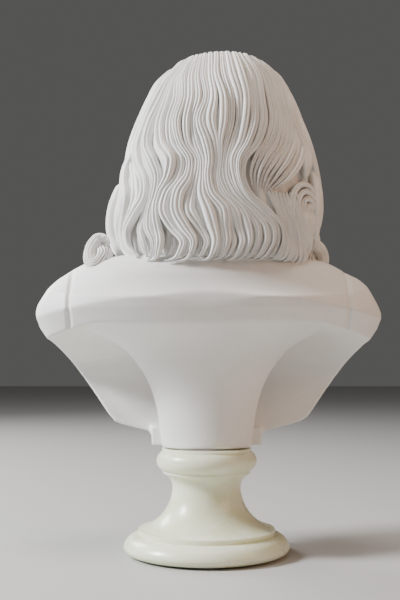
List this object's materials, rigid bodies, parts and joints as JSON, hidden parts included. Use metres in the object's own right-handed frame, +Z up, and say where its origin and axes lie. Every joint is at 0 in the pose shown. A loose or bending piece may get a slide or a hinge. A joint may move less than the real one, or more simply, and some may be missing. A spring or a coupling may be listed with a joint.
{
  "type": "portrait bust on a turned socle",
  "caption": "Hollow-backed marble bust with long waved hair, held by a hidden rod on a turned alabaster socle, on which it can be turned.",
  "frame": {"origin": "middle of the felt face that stands on the table, on the axis of the socle", "axes": "+Z up along the socle's axis; the chest faces -Y and the hollow back +Y; +X is the sitter's left"},
  "size_m": [0.2433, 0.1189, 0.356],
  "materials": {
    "marble": "fine matt cast marble",
    "alabaster": "turned and polished, cream with a green tint",
    "zinc_steel": "zinc plated",
    "spring_steel": "oiled",
    "resin": "cast, unpolished",
    "gasket_felt": "thin pressed felt",
    "base_felt": "green pressed felt"
  },
  "bodies": {
    "socle": {"socle": "alabaster", "base_felt": "base_felt", "seat_gasket": "gasket_felt"},
    "bust": {"bust_casting": "marble", "threaded_rod": "zinc_steel", "resin_anchor": "resin", "flat_washer": "zinc_steel", "spring_washer": "spring_steel", "retaining_nut": "zinc_steel"}
  },
  "joints": [
    {"name": "bust_turn", "type": "hinge", "parent": "socle", "child": "bust", "pos_m": [0, 0, 0.0735], "axis": [0, 0, 1], "continuous": true}
  ]
}
